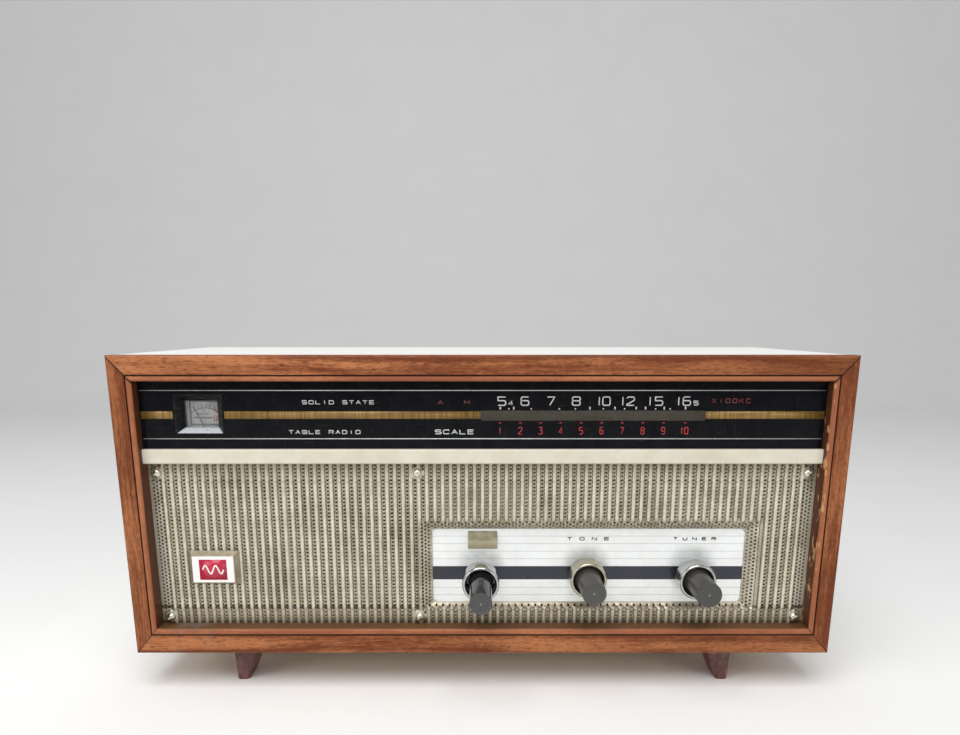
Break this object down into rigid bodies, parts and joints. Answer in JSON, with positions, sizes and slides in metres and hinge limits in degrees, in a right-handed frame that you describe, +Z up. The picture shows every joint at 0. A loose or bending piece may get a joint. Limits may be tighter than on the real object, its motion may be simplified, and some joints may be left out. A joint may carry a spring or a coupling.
{
  "type": "table-top transistor radio",
  "caption": "Table-top transistor radio in a mitred walnut frame, with a slide-rule dial, a tuning meter, a corrugated metal grille and long turning knobs on a white control plate.",
  "frame": {"origin": "middle of the footprint, knobs included, on the surface that the feet stand on", "axes": "+X to the listener's right, +Y to the rear, +Z up; the dial faces -Y"},
  "size_m": [0.38, 0.1864, 0.183],
  "materials": {
    "walnut": "satin oiled walnut",
    "white_laminate": "white laminate on board",
    "plywood": "bare plywood",
    "mahogany": "dark red stained, worn",
    "screw_metal": "nickel plated",
    "hardboard": "brown hardboard",
    "champagne_metal": "champagne anodised, aged",
    "badge_enamel": "white enamel with a red square",
    "dial_glass": "polished, back printed in black",
    "cream_plastic": "satin cream",
    "white_plate": "white enamel, ruled lines",
    "olive_lens": "aged clear moulding",
    "black_plastic": "gloss black moulding",
    "clear_plastic": "clear moulded",
    "meter_card": "white card in a moulded case",
    "plated_steel": "zinc plated",
    "red_plastic": "gloss red",
    "cord_thread": "waxed braid",
    "brass": "turned",
    "tray_plastic": "black moulding",
    "grey_plastic": "worn dark grey moulding",
    "bright_metal": "polished",
    "aluminium_vanes": "plain",
    "phenolic": "phenolic paper board",
    "can_metal": "drawn cans",
    "sleeve_blue": "plastic sleeve",
    "core_steel": "varnished laminations",
    "ferrite": "sintered",
    "copper_wire": "enamelled wire",
    "basket_paint": "grey painted steel",
    "cone_paper": "pressed paper",
    "magnet_steel": "plated pot",
    "cell_jacket": "printed steel jacket"
  },
  "bodies": {
    "case": {"frame_rail_top": "walnut", "frame_rail_bottom": "walnut", "frame_rail_left": "walnut", "frame_rail_right": "walnut", "top_panel": "white_laminate", "bottom_panel": "plywood", "side_panel_left": "white_laminate", "side_panel_right": "white_laminate", "corner_blocks": "plywood", "feet": "mahogany", "foot_screws": "screw_metal", "back_cover": "hardboard", "back_screws": "screw_metal", "baffle_board": "plywood", "grille": "champagne_metal", "grille_screws": "screw_metal", "badge_tray": "champagne_metal", "badge_plate": "badge_enamel", "dial_glass": "dial_glass", "divider_bar": "cream_plastic", "control_plate": "white_plate", "pilot_lens": "olive_lens", "meter_bezel": "black_plastic", "meter_window": "clear_plastic", "meter_case": "meter_card", "pointer_rail": "plated_steel", "dial_cord": "cord_thread", "tuner_bushing": "brass", "tuning_capacitor": "aluminium_vanes", "volume_control": "plated_steel", "tone_control": "plated_steel", "chassis": "plated_steel", "circuit_board": "phenolic", "transistors": "can_metal", "if_cans": "can_metal", "electrolytics": "sleeve_blue", "audio_transformers": "core_steel", "ferrite_rod": "ferrite", "antenna_coil": "copper_wire", "speaker_basket": "basket_paint", "speaker_cone": "cone_paper", "speaker_magnet": "magnet_steel", "battery_box": "tray_plastic", "cells": "cell_jacket"},
    "volume": {"volume_knob": "black_plastic", "volume_collar": "bright_metal", "volume_shaft": "plated_steel"},
    "tone": {"tone_knob": "grey_plastic", "tone_collar": "bright_metal", "tone_shaft": "plated_steel"},
    "tuner": {"tuner_knob": "grey_plastic", "tuner_collar": "bright_metal", "tuning_spindle": "plated_steel"},
    "drum": {"dial_drum": "tray_plastic", "tuning_rotor": "aluminium_vanes"},
    "pointer": {"dial_pointer": "red_plastic"},
    "pulley_left": {"cord_pulley_left": "brass"},
    "pulley_right": {"cord_pulley_right": "brass"},
    "needle": {"meter_needle": "black_plastic"}
  },
  "joints": [
    {"name": "volume_turn", "type": "hinge", "parent": "case", "child": "volume", "pos_m": [-0.001, -0.05275, 0.0642], "axis": [0, 1, 0], "range_deg": [-100, 200]},
    {"name": "tone_turn", "type": "hinge", "parent": "case", "child": "tone", "pos_m": [0.057, -0.05275, 0.0642], "axis": [0, 1, 0], "range_deg": [-140, 140]},
    {"name": "tuner_turn", "type": "hinge", "parent": "case", "child": "tuner", "pos_m": [0.115, -0.05275, 0.0642], "axis": [0, 1, 0], "range_deg": [-385, 802]},
    {"name": "drum_turn", "type": "hinge", "parent": "case", "child": "drum", "pos_m": [0.06, -0.03875, 0.117], "axis": [0, 1, 0], "range_deg": [-57.5, 119.5]},
    {"name": "pointer_slide", "type": "slide", "parent": "case", "child": "pointer", "axis": [1, 0, 0], "range_m": [-0.0317, 0.0659]},
    {"name": "pulley_left_turn", "type": "hinge", "parent": "case", "child": "pulley_left", "pos_m": [-0.009, -0.03875, 0.153], "axis": [0, 1, 0], "range_deg": [-271, 564]},
    {"name": "pulley_right_turn", "type": "hinge", "parent": "case", "child": "pulley_right", "pos_m": [0.125, -0.03875, 0.153], "axis": [0, 1, 0], "range_deg": [-271, 564]},
    {"name": "needle_swing", "type": "hinge", "parent": "case", "child": "needle", "pos_m": [-0.1475, -0.04175, 0.1434], "axis": [0, 1, 0], "range_deg": [0, 48], "stiffness_Nm_per_rad": 0.0002}
  ],
  "couplings": [
    {"joint": "drum_turn", "follows": "tuner_turn", "ratio": 0.14827},
    {"joint": "pointer_slide", "follows": "tuner_turn", "m_per_rad": 0.0047},
    {"joint": "pulley_left_turn", "follows": "tuner_turn", "ratio": 0.70149},
    {"joint": "pulley_right_turn", "follows": "tuner_turn", "ratio": 0.70149}
  ]
}
